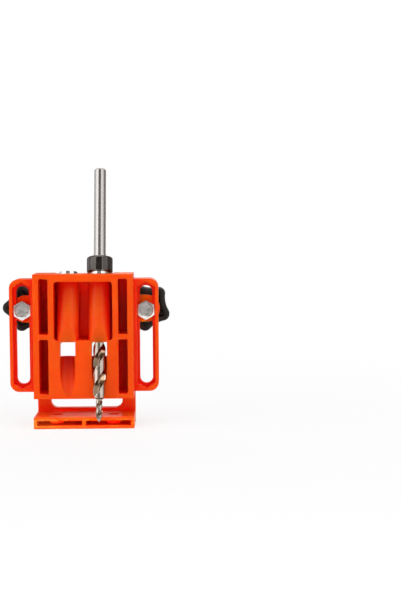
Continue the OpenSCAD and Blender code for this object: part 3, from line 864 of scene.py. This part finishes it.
# %% Sizes of the drill, and its cross section
WEB = 0.2
FLUTE_ROUND = 0.72
MARGIN_DEG = 12
RELIEF = 0.955
flute_at = WEB + FLUTE_ROUND
flute_open = math.acos((flute_at ** 2 + 1 - FLUTE_ROUND ** 2) / (2 * flute_at))


def section_share(angle):
    """Radius of the fluted section at an angle, as a share of the drill's radius."""
    b = (angle + math.pi / 2) % math.pi - math.pi / 2
    if abs(b) < flute_open:
        return flute_at * math.cos(b) - math.sqrt(FLUTE_ROUND ** 2 - (flute_at * math.sin(b)) ** 2)
    past = math.degrees((b - flute_open) % math.pi)
    return 1.0 if past < MARGIN_DEG else RELIEF


print("each flute opens", round(2 * math.degrees(flute_open)), "degrees")

# %% Body, step, pilot and point
SECTION_POINTS = 72
FLUTE_LEAD, BODY_STEPS = 42 * MM, 150
PILOT_LEAD, PILOT_STEPS = 15 * MM, 90
FLUTE_RUNOUT = 10 * MM
STEP_DEG = 135
CHISEL = 0.06


def ring_edges(ring):
    inside = set(ring)
    return list({e for v in ring for e in v.link_edges if e.other_vert(v) in inside})


def next_ring(bm, ring, scale, rise):
    made = new_verts(bmesh.ops.extrude_edge_only(bm, edges=ring_edges(ring)))
    bmesh.ops.scale(bm, verts=made, vec=(scale, scale, 1))
    bmesh.ops.translate(bm, verts=made, vec=(0, 0, rise))
    return made


def twist(bm, ring, rise, lead, steps):
    made = bmesh.ops.spin(bm, geom=ring + ring_edges(ring), cent=(0, 0, 0), axis=(0, 0, 1),
                          angle=2 * math.pi * rise / lead, steps=steps,
                          dvec=(0, 0, rise / steps))["geom_last"]
    return [g for g in made if isinstance(g, bmesh.types.BMVert)]


def run_out(bm):
    """Lets the flutes fade into the round shank."""
    run_from = FLUTE_END - FLUTE_RUNOUT
    for v in bm.verts:
        if v.co.z > run_from:
            full = Vector((v.co.x, v.co.y)).normalized() * DRILL_R
            share = math.sin(min(1, (v.co.z - run_from) / FLUTE_RUNOUT) * math.pi / 2) ** 2
            v.co.x, v.co.y = Vector((v.co.x, v.co.y)).lerp(full, share)


def fluted_drill():
    """The drill along Z, from its tip at z = 0 to the end of its flutes, and its top ring."""
    bm = bmesh.new()
    ring = bmesh.ops.create_circle(bm, segments=SECTION_POINTS, radius=DRILL_R)["verts"]
    for v in ring:
        v.co *= section_share(math.atan2(v.co.y, v.co.x))
    step_h = (DRILL_R - PILOT_R) / math.tan(math.radians(STEP_DEG / 2))
    bmesh.ops.translate(bm, verts=ring, vec=(0, 0, PILOT_L + step_h))
    top = twist(bm, ring, FLUTE_L - step_h, FLUTE_LEAD, BODY_STEPS)
    pilot = next_ring(bm, ring, PILOT_R / DRILL_R, -step_h)
    shoulder = twist(bm, pilot, -(PILOT_L - POINT_H), PILOT_LEAD, PILOT_STEPS)
    next_ring(bm, shoulder, CHISEL, -POINT_H)
    run_out(bm)
    return bm, top


bm, top = fluted_drill()
print("fluted length in mm:", round(FLUTE_END / MM, 1))

# %% Shank, and the drill in its guide
SHANK_R = guide["dims"]["r_mm"] * MM
SHANK_L = guide["dims"]["length_mm"] * MM
END_CHAMFER_H, END_CHAMFER_R = 1 * MM, 0.9 * MM
DRILL_WELD = 0.001 * MM
DRILL_CREASE_DEG = 35

drill_l = top_s - tip_s
shank_to = drill_l - END_CHAMFER_H
shank_from = shank_to - SHANK_L
for radius, place in ((DRILL_R, shank_from), (SHANK_R, shank_from), (SHANK_R, shank_to),
                      (SHANK_R - END_CHAMFER_R, drill_l)):
    top = next_ring(bm, top, 1, place - top[0].co.z)
    for v in top:
        v.co.xy = v.co.xy.normalized() * radius
close_ends(bm)
bmesh.ops.remove_doubles(bm, verts=bm.verts, dist=DRILL_WELD)
bmesh.ops.recalc_face_normals(bm, faces=bm.faces)
seat = Matrix.Translation(guide_point + tip_s * guide_axis) @ Matrix.Rotation(-guide_slope, 4, "X")
drill = seated(bm, "stepped_drill", seat, DRILL_CREASE_DEG)
finish_piece(drill, "drill_bit", "drill", drill_steel)
print("drill length in mm:", round(drill_l / MM, 1), "faces:", len(drill.data.polygons))
